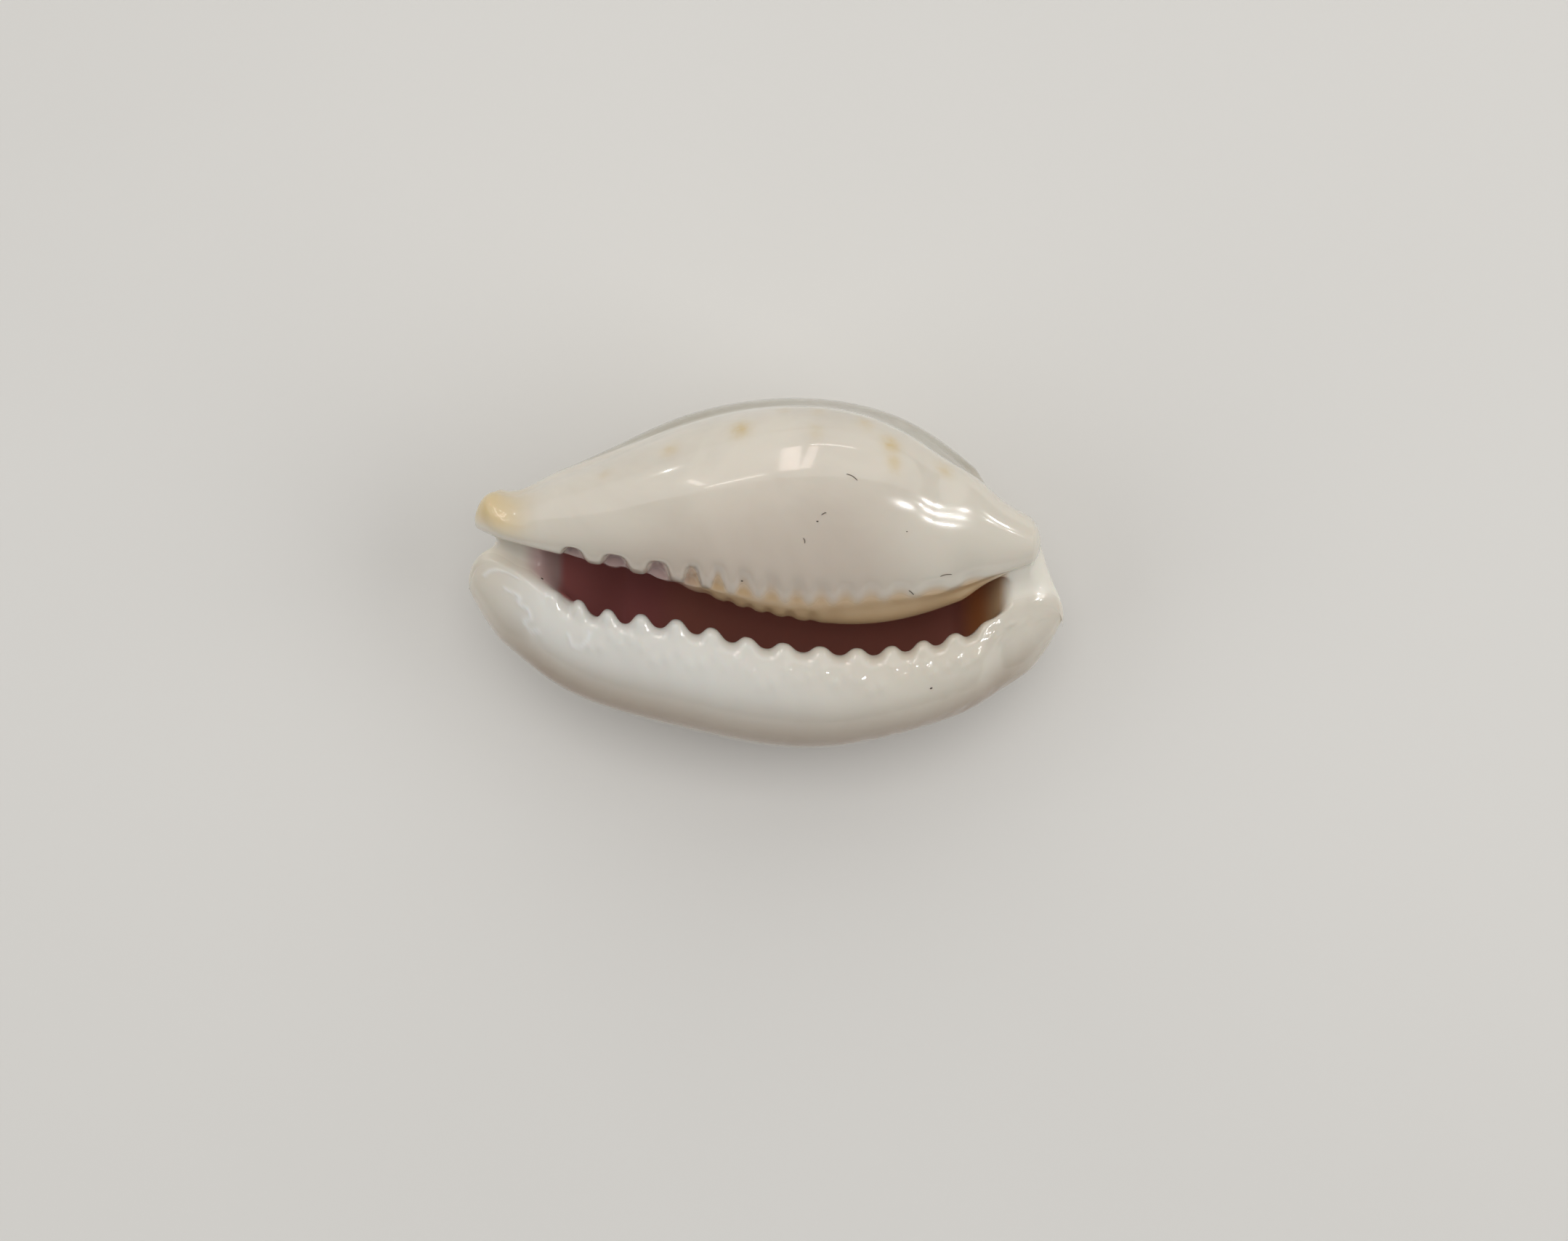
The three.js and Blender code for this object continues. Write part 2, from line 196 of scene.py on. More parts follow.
# Guide points of the inside: the same two shares in the hollow, then in an open canal
LEDGE = [[0.5, 0.125, 0.96, 0.2], [0, 0.19, 0.88, 0.3], [0.2, 0.29, 0.74, 0.37]]
CHAMBER = [
    [0.12, 0.39, 0.56, 0.42], [0.41, 0.43, 0.38, 0.45], [0.73, 0.56, 0.22, 0.47],
    [0.57, 0.8, 0.1, 0.48], [0.05, 0.92, 0, 0.48], [-0.52, 0.8, -0.15, 0.47],
    [-0.79, 0.53, -0.3, 0.45], [-0.75, 0.31, -0.45, 0.41], [-0.54, 0.22, -0.65, 0.33],
    [-0.28, 0.165, -0.85, 0.22],
]
FOLD = len(LIP) + len(BACK) + len(COLUMELLA) - 1
LOOP = FOLD + 1 + len(LEDGE) + len(CHAMBER)

# The rims that the loops close onto at both ends, from the outer lip over the notch to the columella, as
# [x, side, out]
FRONT_RIM = [
    [-12.35, 0.6, -3.0],
    [-12.45, 0.65, -3.3],
    [-12.0, 0.9, -4.1],
    [-11.35, 2.4, -4.4],
    [-11.8, 3.6, -3.95],
    [-12.05, 3.8, -3.25],
    [-11.98, 3.65, -2.8],
]
REAR_RIM = [
    [12.47, -1.1, -3.0],
    [12.5, -0.6, -3.35],
    [12.15, 0.35, -3.9],
    [11.6, 1.9, -4.2],
    [11.32, 2.9, -4.0],
    [11.38, 3.05, -3.25],
    [11.34, 2.85, -2.8],
]

# Tooth numbers along the shell, a whole number at each tooth's crest
lip_tooth = spline(
    [[-8.85, 0], [-6.54, 2], [-3.7, 4], [0.72, 7], [5.18, 10], [7.8, 12], [9.2, 13]]
)
lip_tooth_share = spline([[-8.5, 1], [-3, 0.95], [-0.5, 0.74], [5, 0.7], [9, 0.7]])
columella_tooth = spline(
    [
        [-7.07, 0], [-5.27, 1], [-3.65, 2], [-2.46, 3], [-1.45, 4], [-0.32, 5], [2.72, 8],
        [6.1, 11], [7.7, 12], [9.3, 13],
    ]
)
ledge_tooth = spline([[-6.35, 0], [-4.29, 2], [-1.94, 4], [-0.32, 6], [2.4, 9]])
columella_tooth_share = spline(
    [[-8.5, 1.7], [-5.3, 1.5], [-3.6, 1.1], [-2, 0.66], [1, 0.3], [6, 0.26], [9, 0.34]]
)
columella_tooth_reach = spline([[-8, 3.1], [-5.3, 2.4], [-2, 1.7], [2, 1.3], [8, 1.3]])
# The turn at which the columella's teeth end and the tan ledge starts, and the turn of the rim of the base
ledge_start = spline(
    [
        [-8, 20.8], [-5.3, 20.3], [-3.6, 19.8], [-2.4, 19.4], [0, 19.05], [3.7, 19.2],
        [8, 19.4],
    ]
)
rim_turn = spline(
    [
        [-8, 12.2], [-6, 12.65], [-3, 13.0], [0, 13.1], [1.7, 13.4], [4.3, 13.7],
        [6.6, 14.05], [8.7, 14.0], [9.2, 13.8],
    ]
)
# The lip's first guide points where its edge rolls softly into the open canals at the front and the rear
FRONT_LIP = [[0, 0.15], [0.16, 0.085], [0.4, 0.035], [0.74, 0.05], [0.96, 0.16]]
REAR_LIP = [[0, 0.135], [0.15, 0.11], [0.38, 0.09], [0.7, 0.09], [0.96, 0.18]]
# The columella's guide points where it ends in a broad round tip at the rear
ROUND_TIP = [
    [0.96, 0.5], [1.14, 0.37], [1.2, 0.22], [1.02, 0.09], [0.7, 0.015], [0.36, 0.01],
    [0.1, 0.06], [0, 0.14],
]
# The open canals: their edge, as a share of the shell's depth, and how much of the guide points' depth
# below that edge the canal of each end keeps
CANAL_EDGE = 0.12
FRONT_CANAL_DEPTH = 0.5
REAR_CANAL_DEPTH = 0.3


def blend(points, others, amount):
    """Guide points moved towards others by an amount that changes along the shell.

    Where the list of others is shorter, only the first points move.
    """
    moved = [[share + 0 * amount, down + 0 * amount] for share, down in points]
    for place, (share, down) in zip(moved, others):
        place[0] = place[0] + amount * (share - place[0])
        place[1] = place[1] + amount * (down - place[1])
    return moved


def guide_points(x):
    """The guide points of the loops at each x: their sides and their outs, as two arrays [place, guide]."""
    centre, gap, base, depth = slit_side(x), slit_half_width(x), base_level(x), body_depth(x)
    lip_reach = centre - lip_margin(x)
    columella_reach = columella_margin(x) - centre
    back_reach = columella_reach + back_swell(x) * (1 - rise(x, *HUMP_END))
    full = plateau(x, *HOLLOW_X)
    lip = blend(LIP, FRONT_LIP, 1 - rise(x, *FRONT_LIP_END))
    lip = blend(lip, REAR_LIP, rise(x, *REAR_LIP_START))
    columella = blend(COLUMELLA, ROUND_TIP, rise(x, *ROUND_TIP_START))
    sides = [centre - gap - share * (lip_reach - gap) for share, _ in lip]
    sides += [centre + share * back_reach for share, _ in BACK]
    sides += [centre + gap + share * (columella_reach - gap) for share, _ in columella]
    outs = [base - down * depth for _, down in lip + BACK + columella]
    canal_depth = 1 - (1 - FRONT_CANAL_DEPTH) * (1 - rise(x, *FRONT_CANAL_END))
    canal_depth = canal_depth - (1 - REAR_CANAL_DEPTH) * rise(x, *REAR_CANAL_START)
    for number, (share, down, canal_share, canal_down) in enumerate(LEDGE + CHAMBER):
        if number < len(LEDGE):
            in_hollow = ledge_side(x) + share * gap
        else:
            in_hollow = share * (lip_reach if share < 0 else columella_reach)
        sides.append(centre + full * in_hollow + (1 - full) * canal_share * gap)
        canal_down = CANAL_EDGE + (canal_down - CANAL_EDGE) * canal_depth
        outs.append(base - (full * down + (1 - full) * canal_down) * depth)
    return np.stack(sides, -1), np.stack(outs, -1)


def on_loop(x, turn):
    """Places on the smooth loops (closed cubic B-splines), and the direction out of the wall there."""
    sides, outs = guide_points(x)
    first = np.floor(turn).astype(int)
    u = turn - first
    weights = [(1 - u) ** 3, 3 * u**3 - 6 * u**2 + 4, -3 * u**3 + 3 * u**2 + 3 * u + 1, u**3]
    slopes = [-((1 - u) ** 2), 3 * u**2 - 4 * u, -3 * u**2 + 2 * u + 1, u**2]
    side = out = run_side = run_out = 0
    for k in range(4):
        guide = ((first + k - 1) % LOOP)[:, None]
        guide_side = np.take_along_axis(sides, guide, 1)[:, 0]
        guide_out = np.take_along_axis(outs, guide, 1)[:, 0]
        side = side + weights[k] * guide_side / 6
        out = out + weights[k] * guide_out / 6
        run_side = run_side + slopes[k] * guide_side / 2
        run_out = run_out + slopes[k] * guide_out / 2
    length = np.hypot(run_side, run_out)
    return side, out, run_out / length, -run_side / length


def tooth_wave(number, breadth=1.5):
    """A wave from -1 to 0, highest at each whole tooth number; the crests are broader for more breadth."""
    wave = np.cos(2 * math.pi * number)
    return -((0.5 - wave * (1.25 - 0.25 * wave * wave) / 2) ** breadth)


RIPPLE_WAVES = 5
RIPPLE_TURN_LENGTH = 1.2  # millimetres round the wall for one turn unit, over the whole outside


def ripple(x, turn, wavelength, seed):
    """An uneven ripple from -1 to 1 over the wall, from a few crossing waves."""
    total = 0
    for n in range(RIPPLE_WAVES):
        angle = seed + 2.4 * n
        pitch = wavelength * (0.75 + 0.17 * n)
        wave = x * math.cos(angle) + turn * math.sin(angle) * RIPPLE_TURN_LENGTH
        total = total + np.sin(2 * math.pi * wave / pitch + 1.7 * n * seed)
    return total / RIPPLE_WAVES


# Small lumps at the foot of each lip tooth, as [place between two teeth, turn, how much the turn varies]
PEARLS = [[0.08, 0.95, 0.15], [0.36, 1.25, 0.2], [0.72, 1.1, 0.25]]
PEARL_RADIUS = 0.2  # millimetres
LIP_TOOTH_PITCH = 1.4  # millimetres from one tooth to the next
LIP_TURN_LENGTH = 1.15  # millimetres round the wall for one turn unit, near the lip's teeth
PEARLS_X = (-8.5, -7, 9.5, 11.5)


def pearls(x, from_lip):
    """1 on the small lumps at the feet of the lip's teeth, fading to 0 round each."""
    number = lip_tooth(x)
    total = 0
    for share, turn, spread in PEARLS:
        nearest = np.round(number - share)
        off_x = (number - share - nearest) * LIP_TOOTH_PITCH
        off_turn = (from_lip - turn - spread * np.sin(2.3 * nearest)) * LIP_TURN_LENGTH
        total = total + np.exp(-(off_x * off_x + off_turn * off_turn) / PEARL_RADIUS**2)
    return total * plateau(x, *PEARLS_X)


# Patches of the wall that carry a form or a colour, as a stretch of x and a stretch of turns from the lip's
# toothed edge. Each stretch is (start, full, end of full, end).
PATCHES = {
    "lip teeth": [(-9.6, -7.6, 8.4, 10), (-1.4, -0.3, 0, 0.75)],
    "lip edge": [(-9.6, -7.6, 8.4, 10), (-1.4, -0.3, 0, 0.7)],
    "lip folds": [(-8, -6, 6, 9), (0.4, 1.4, 2, 4.2)],
    "lumps": [(-9.5, -7.5, 10, 11.6), (0.35, 0.8, 1.7, 2.6)],
    "wrinkles": [(4.5, 7.5, 11.6, 12.3), (0.5, 1, 2.2, 3)],
    "dimples": [(1, 6, 11, 12.4), (2.4, 3.6, 5.6, 6.6)],
    "ledge scallops": [(-8, -6.6, 1.2, 3), (FOLD - 0.4, FOLD + 0.4, FOLD + 2, FOLD + 3)],
    # The lip's top face carries whiter enamel together with painted light, brighter where it faces the
    # light
    "lip top": [(-12, -9, -4, 8), (-2, 0, 1.5, 3.6)],
    # The lip's underside carries a fawn tint together with painted shade, darker where it turns away from
    # the light
    "lip underside": [(-12.5, -9, 9, 12.5), (1.7, 3.9, 7, 9)],
}
OUTSIDE_TURNS = (0.6, 2, FOLD - 2.5, FOLD - 1.5)
COLUMELLA_TEETH_X = (-8.6, -7.9, 8, 10)
COLUMELLA_VALLEYS_X = (-8.3, -7.9, 8, 10)
RIM_X = (-8, -5.5, 8.8, 9.8)
RIM_GROOVE_X = (3.5, 7, 8.9, 9.6)
INSIDE_MIDDLE = LOOP / 2 + FOLD / 2  # the turn halfway round the inside
# Low relief as a share of the height of the teeth, dimples or lumps that it goes with
LIP_FOLD_SHARE = 0.045
WRINKLE_SHARE = 0.3
LUMP_RIPPLE_SHARE = 0.1
LIP_EDGE_SHARE = 0.5  # the share of a tooth at which the lip's edge keeps its place
COLUMELLA_TOOTH_LIFT = 0.12
LEDGE_SCALLOP_LIFT = 0.4


def patch(name, x, turn):
    """1 on a patch of the wall, fading to 0 round it."""
    stretch, turns = PATCHES[name]
    return plateau(turn, *turns) * plateau(x, *stretch)


def turn_from_lip(turn):
    """Turns counted from the lip's toothed edge, below 0 on the lip's inside."""
    return np.where(turn > INSIDE_MIDDLE, turn - LOOP, turn)


def relief(x, turn, shape):
    """How far the wall is lifted by the teeth, ridges, rim and dimples, in millimetres."""
    from_lip = turn_from_lip(turn)
    lip_share = lip_tooth_share(x)
    lip_teeth = patch("lip teeth", x, from_lip) * lip_share
    lip_teeth = lip_teeth + LIP_FOLD_SHARE * patch("lip folds", x, from_lip)
    lip_edge = patch("lip edge", x, from_lip) * (lip_share - LIP_EDGE_SHARE)
    columella_breadth = 1.4 - 0.5 * rise(x, *LOW_TEETH_START)
    columella_wave = tooth_wave(columella_tooth(x), columella_breadth) + COLUMELLA_TOOTH_LIFT
    start, reach = ledge_start(x), columella_tooth_reach(x)
    columella_teeth = plateau(turn, start - reach, start - 0.6 * reach, start - 0.4, start + 0.1)
    columella_teeth = columella_teeth * plateau(x, *COLUMELLA_TEETH_X) * columella_tooth_share(x)
    scallop_wave = tooth_wave(ledge_tooth(x)) + LEDGE_SCALLOP_LIFT
    crease = rim_turn(x)
    rim = plateau(turn, crease - 0.16, crease + 0.16, crease + 0.8, crease + 2.2) * plateau(x, *RIM_X)
    rim = rim - hump(turn, crease - 0.4, width=0.26) * plateau(x, *RIM_GROOVE_X)
    dimples = patch("dimples", x, from_lip) * np.maximum(0, ripple(x, from_lip, wavelength=1.1, seed=0.9))
    wrinkles = patch("wrinkles", x, from_lip) * ripple(x, from_lip, wavelength=0.6, seed=1.7)
    swells = plateau(from_lip, *OUTSIDE_TURNS) * ripple(x, from_lip, wavelength=4.2, seed=2.3)
    lumps = LUMP_RIPPLE_SHARE * patch("lumps", x, from_lip) * ripple(x, from_lip, wavelength=0.75, seed=3.1)
    return (
        shape.lip_tooth_height / MM * (lip_teeth * tooth_wave(lip_tooth(x), breadth=1.0) + lip_edge)
        + shape.columella_tooth_height / MM * columella_teeth * columella_wave
        + shape.ledge_scallop_height / MM * patch("ledge scallops", x, turn) * scallop_wave
        + shape.rim_height / MM * rim
        + shape.dimple_depth / MM * (WRINKLE_SHARE * wrinkles - dimples)
        + shape.unevenness / MM * swells
        + shape.lump_height / MM * (lumps + pearls(x, from_lip))
        + shape.enamel_line_height / MM * enamel_line(x, from_lip)
    )


def on_wall(x, turn, shape):
    """Places on the finished wall, as sides and outs."""
    side, out, away_side, away_out = on_loop(x, turn)
    lift = relief(x, turn, shape)
    return side + lift * away_side, out + lift * away_out


STATIONS = 330  # steps along the shell between the end caps
CAP_STATIONS = 24
POINTS_PER_SIDE = 120  # points of a loop on the outside, and as many on the inside
CROWDING = 0.35


def crowded(share):
    """A share from 0 to 1, moved so that the points lie closer together at both toothed edges."""
    return share - CROWDING * np.sin(2 * math.pi * share) / (2 * math.pi)


def shell_mesh(shape):
    """The shell's vertices [x, side, out] in millimetres, its faces, and each vertex's x and turn."""
    count = 2 * POINTS_PER_SIDE
    shares = crowded(np.arange(POINTS_PER_SIDE) / POINTS_PER_SIDE)
    turns = np.concatenate([FOLD * shares, FOLD + (LOOP - FOLD) * shares])
    rim_steps = np.arange(POINTS_PER_SIDE + 1)
    rim_of_row = np.minimum(np.arange(count), count - np.arange(count))

    def body_ring(x):
        places = np.full(count, x)
        side, out = on_wall(places, turns, shape)
        return np.stack([places, side, out], -1), places

    def cap_ring(ends, cap_x, angle):
        end = ends[rim_of_row]
        places = cap_x + (end[:, 0] - cap_x) * math.sin(angle)
        side, out = on_wall(places, turns, shape)
        openness = math.cos(angle)
        side = end[:, 1] + (side - end[:, 1]) * openness
        out = end[:, 2] + (out - end[:, 2]) * openness
        return np.stack([places, side, out], -1), places

    front, rear = (path_through(rim, crowded(rim_steps / POINTS_PER_SIDE)) for rim in (FRONT_RIM, REAR_RIM))
    angles = np.arange(1, CAP_STATIONS) / CAP_STATIONS * math.pi / 2
    rings = [cap_ring(front, FRONT_CAP_X, angle) for angle in angles[::-1]]
    rings += [body_ring(x) for x in np.linspace(FRONT_CAP_X, REAR_CAP_X, STATIONS + 1)]
    rings += [cap_ring(rear, REAR_CAP_X, angle) for angle in angles]
    points = np.concatenate([ring for ring, _ in rings] + [front, rear])
    along = np.concatenate([places for _, places in rings] + [front[:, 0], rear[:, 0]])
    rim_turns = turns[np.minimum(rim_steps, count - 1)]
    rim_turns[-1] = FOLD
    turn = np.concatenate([np.tile(turns, len(rings)), rim_turns, rim_turns])

    a = (np.arange(len(rings) - 1)[:, None] * count + np.arange(count)).ravel()
    b = (np.arange(len(rings) - 1)[:, None] * count + (np.arange(count) + 1) % count).ravel()
    walls = np.stack([a, b, b + count, a + count], -1)
    row = np.arange(count)
    after = (row + 1) % count
    front_start = len(rings) * count
    rear_start = front_start + len(front)
    last = (len(rings) - 1) * count
    front_end = np.stack([row, front_start + rim_of_row[row], front_start + rim_of_row[after], after], -1)
    rear_end = np.stack(
        [last + row, last + after, rear_start + rim_of_row[after], rear_start + rim_of_row[row]], -1
    )
    return points, np.concatenate([walls, front_end, rear_end]), along, turn


def lay_down(points):
    """Turns the shell to how it lies, wears the resting spot flat, and centres it over the origin."""
    lean = math.radians(90 - APERTURE_ELEVATION)
    x, side, out = points.T
    y = side * math.cos(lean) - out * math.sin(lean)
    z = side * math.sin(lean) + out * math.cos(lean)
    z = np.maximum(z, z.min() + REST_FLAT_DEPTH)
    lying = np.stack([x - (x.min() + x.max()) / 2, y - (y.min() + y.max()) / 2, z - z.min()], -1)
    return lying * MM


# Colour masks over the wall

# Faint orange spots beside the rim, as [x, turn, radius in millimetres, strength]
SPOTS = [
    [-3.92, 14.55, 0.34, 0.5],
    [-1.06, 14.47, 0.4, 0.8],
    [0.7, 13.75, 0.3, 0.45],
    [2.1, 13.95, 0.32, 0.35],
    [2.0, 14.8, 0.3, 0.3],
    [4.05, 14.25, 0.36, 0.5],
    [5.06, 14.8, 0.36, 0.85],
    [5.15, 15.3, 0.32, 0.55],
    [7.26, 14.8, 0.36, 0.5],
    [-6.6, 14.6, 0.3, 0.3],
]
RIM_TURN_LENGTH = 1.45  # millimetres round the wall for one turn unit, near the rim
# Thin raised lines of enamel on the front end of the lip, as [x, turn] places along each
ENAMEL_LINES = [
    [[-11.73, 1.05], [-11.46, 0.57], [-11.14, 0.26], [-10.75, 0.03], [-10.31, -0.04]],
    [[-10.84, 1.15], [-10.49, 1.04], [-10.22, 0.96], [-10.31, 1.38], [-9.87, 1.22], [-9.77, 1.51]],
    [[-9.77, 1.51], [-10.09, 1.93], [-9.83, 2.05], [-9.44, 1.75]],
    [[-8.19, 1.25], [-8.04, 1.56], [-7.7, 1.53], [-7.38, 1.14], [-7.31, 0.91]],
]
LINE_WIDTH = 0.09  # millimetres from a line's middle to where it has faded


def enamel_line(x, from_lip):
    """1 on the thin lines of enamel, fading to 0 beside them."""
    nearest = 9.0
    for line in ENAMEL_LINES:
        ends = np.array(line) * [1, LIP_TURN_LENGTH]
        for start, end in zip(ends, ends[1:]):
            way = end - start
            off_x, off_turn = x - start[0], from_lip * LIP_TURN_LENGTH - start[1]
            share = np.clip((off_x * way[0] + off_turn * way[1]) / (way @ way), 0, 1)
            far = np.hypot(off_x - share * way[0], off_turn - share * way[1])
            nearest = np.minimum(nearest, far)
    return np.exp(-((nearest / LINE_WIDTH) ** 2))


def masks(x, turn):
    """The masks that the material mixes its colours by, each from 0 to 1."""
    from_lip = turn_from_lip(turn)
    spots = 0
    for spot_x, spot_turn, radius, strength in SPOTS:
        far = np.hypot(x - spot_x, (turn - spot_turn) * RIM_TURN_LENGTH)
        spots = np.maximum(spots, strength * np.exp(-((far / radius) ** 2)))
    low = rise(x, *LOW_TEETH_START)
    valley = -tooth_wave(columella_tooth(x), 2.2 - 1.5 * low) * plateau(x, *COLUMELLA_VALLEYS_X)
    start = ledge_start(x) - (columella_tooth_reach(x) - 0.5) * valley * (1 - 0.45 * low)
    ledge = rise(turn, start - 0.25 - 0.3 * low, start + 0.2 + 0.3 * low) * (turn < INSIDE_MIDDLE)
    canal = np.maximum(1 - rise(x, -10.2, -8.4), rise(x, 8.9, 10))
    deep = rise(turn, FOLD + 2.6 - 2 * canal, FOLD + 3.6 - 2 * canal)
    deep = deep * (1 - rise(turn, LOOP - 1.15 - 2.2 * canal, LOOP - 0.5 - 0.2 * canal))
    crease = rim_turn(x)
    back = rise(turn, 5.6, 7.4) * (1 - rise(turn, crease - 0.25, crease))
    blush = rise(turn, ledge_start(x) - 4.6, ledge_start(x) - 1.3) * (turn < FOLD + 1)
    return {
        "along": np.clip((x + SHELL_LENGTH / 2) / SHELL_LENGTH, 0, 1),
        "ledge": ledge,
        "deep": deep,
        "back": back * plateau(x, -11.2, -9, 8.8, 10.4),
        # a thin painted highlight along the rim of the base
        "cream_and_rim_highlight": hump(turn, crease + 0.06, width=0.1) * plateau(x, -8, -4, 8.8, 9.6),
        "knob": plateau(turn, 11, 13.2, 16.2, 18.6) * (1 - rise(x, -11.2, -9)),
        # fawn tint and painted shade under the outer lip
        "fawn_and_shade_under_lip": patch("lip underside", x, from_lip),
        # whiter enamel and painted light on the lip's top face
        "whiter_and_lit_top_of_lip": patch("lip top", x, from_lip),
        "blush": blush * plateau(x, -9, -4, 3, 8),
        # the raised enamel lines, where a painted highlight is laid on them
        "enamel_line": enamel_line(x, from_lip),
        "pitted": plateau(from_lip, 0.3, 0.9, 2.6, 3.6) * rise(x, 4.5, 8),
        "spots": spots,
    }


# Dust that lies on the enamel

# Lint fibres, as [x, turn] places along each
FIBRES = [
    [[3.2, 15.73], [3.45, 15.76], [3.67, 15.84]],
    [[2.2, 16.51], [2.33, 16.47], [2.41, 16.47]],
    [[1.48, 16.93], [1.54, 16.98], [1.54, 17.04]],
    [[7.07, 18.06], [7.3, 18.02], [7.59, 18.1]],
    [[5.8, 18.72], [5.92, 18.85], [6.04, 19.1]],
]
# Specks, as [x, turn, share of the largest speck]
SPECKS = [[6.85, 1.8, 1], [5.67, 16.73, 0.6], [2.05, 16.62, 0.8], [-9.32, 32.31, 0.9], [-0.99, 18.31, 0.8]]
SPECK_BREADTH = 0.6
FIBRE_BLUNTNESS = 6  # higher powers keep a fibre thick nearer to its ends
DUST_LIFT = 0.7  # how high a strand's middle lies over the wall, as a share of its greatest radius
DUST_SIDES = 8
FIBRE_STEPS = 12
SPECK_STEPS = 8


def dust_strand(places, radii, shape):
    """A closed strand along [x, turn] places that lies on the wall: its vertices and faces."""
    x, turn = places.T
    side, out = on_wall(x, turn, shape)
    _, _, away_side, away_out = on_loop(x, turn)
    up = np.stack([0 * x, away_side, away_out], -1)
    middle = np.stack([x, side, out], -1) + DUST_LIFT * radii.max() * up
    along = np.gradient(middle, axis=0)
    across = np.cross(along, up)
    across /= np.linalg.norm(across, axis=1, keepdims=True)
    angle = np.arange(DUST_SIDES) / DUST_SIDES * 2 * math.pi
    spokes = np.cos(angle)[None, :, None] * up[:, None] + np.sin(angle)[None, :, None] * across[:, None]
    rings = middle[:, None] + radii[:, None, None] * spokes
    inner = rings[1:-1].reshape(-1, 3)
    first, last = len(inner), len(inner) + 1
    end = len(inner) - DUST_SIDES
    faces = []
    for i in range(DUST_SIDES):
        j = (i + 1) % DUST_SIDES
        faces += [[first, j, i], [last, end + i, end + j]]
        for ring in range(0, end, DUST_SIDES):
            faces.append([ring + i, ring + j, ring + DUST_SIDES + j, ring + DUST_SIDES + i])
    return np.concatenate([inner, middle[:1], middle[-1:]]), faces


def dust_mesh(shape, dust):
    """The vertices of all the dust in millimetres, its faces, and each vertex's share of speck colour."""
    strands = []
    for fibre in FIBRES:
        marks = np.linspace(0, 1, FIBRE_STEPS)
        radii = dust.fibre_thickness / MM / 2 * np.sqrt(1 - np.abs(2 * marks - 1) ** FIBRE_BLUNTNESS)
        strands.append((path_through(fibre, marks), radii, 0))
    for x, turn, share in SPECKS:
        way = np.cos(np.linspace(math.pi, 0, SPECK_STEPS))
        size = share * dust.speck_size / MM
        places = np.stack([x + size * way, turn + 0 * way], -1)
        strands.append((places, SPECK_BREADTH * size * np.sqrt(np.maximum(0, 1 - way * way)), 1))
    points, faces, specks = [], [], []
    for places, radii, speck in strands:
        strand_points, strand_faces = dust_strand(places, radii, shape)
        faces += [[corner + len(points) for corner in face] for face in strand_faces]
        points += strand_points.tolist()
        specks += [speck] * len(strand_points)
    return np.array(points), faces, specks


# Materials

# How fine each pattern is, as waves or cells in a metre
ENAMEL_CLOUD_SCALE = 150.0
BACK_CLOUD_SCALE = 260.0
BACK_DOT_SCALE = 620.0
SPOT_GRAIN_SCALE = 2600.0
SMEAR_SCALE = 420.0
PIT_SCALE = 1500.0
LINT_CLOUD_SCALE = 9000.0
FLOOR_CLOUD_SCALE = 9.0
BUMP_HEIGHT = 0.03 * MM
# What the smears and the inside add to the roughness
SMEAR_ROUGHNESS = 0.1
INSIDE_ROUGHNESS = 0.2


class Nodes:
    """A small helper that adds nodes to a tree and joins them."""

    def __init__(self, tree):
        self.tree = tree
        tree.nodes.clear()

    def add(self, kind, **settings):
        node = self.tree.nodes.new(kind)
        for name, value in settings.items():
            setattr(node, name, value)
        return node

    def join(self, source, target):
        self.tree.links.new(source, target)

    def mask(self, name):
        return self.add("ShaderNodeAttribute", attribute_name=name).outputs["Fac"]

    def put(self, value, socket):
        if isinstance(value, bpy.types.NodeSocket):
            self.join(value, socket)
        elif hasattr(value, "__len__") and socket.type == "RGBA":
            socket.default_value = (*value[:3], 1)
        else:
            socket.default_value = value

    def mix(self, amount, first, second):
        node = self.add("ShaderNodeMix", data_type="RGBA")
        self.put(amount, node.inputs[0])
        self.put(first, node.inputs[6])
        self.put(second, node.inputs[7])
        return node.outputs[2]

    def tint(self, tone, mask, share, other):
        """The tone, moved towards another by a share of a mask."""
        return self.mix(self.math("MULTIPLY", self.mask(mask), share), tone, other)

    def math(self, operation, *values):
        node = self.add("ShaderNodeMath", operation=operation)
        for value, socket in zip(values, node.inputs):
            self.put(value, socket)
        return node.outputs[0]

    def remap(self, value, start, end, low=0.0, high=1.0):
        node = self.add("ShaderNodeMapRange", interpolation_type="SMOOTHSTEP")
        inputs = {"Value": value, "From Min": start, "From Max": end, "To Min": low, "To Max": high}
        for name, entry in inputs.items():
            self.put(entry, node.inputs[name])
        return node.outputs["Result"]

    def ramp(self, value, stops):
        node = self.add("ShaderNodeValToRGB")
        ramp = node.color_ramp
        ramp.interpolation = "EASE"
        for number, (place, tone) in enumerate(stops):
            stop = ramp.elements[number] if number < 2 else ramp.elements.new(place)
            stop.position = place
            stop.color = (*tone, 1)
        self.join(value, node.inputs["Fac"])
        return node.outputs["Color"]

    def noise(self, place, scale, detail=3.0, roughness=0.5, distortion=0.0):
        node = self.add("ShaderNodeTexNoise")
        self.join(place, node.inputs["Vector"])
        inputs = {"Scale": scale, "Detail": detail, "Roughness": roughness, "Distortion": distortion}
        for name, entry in inputs.items():
            self.put(entry, node.inputs[name])
        return node.outputs["Fac"]


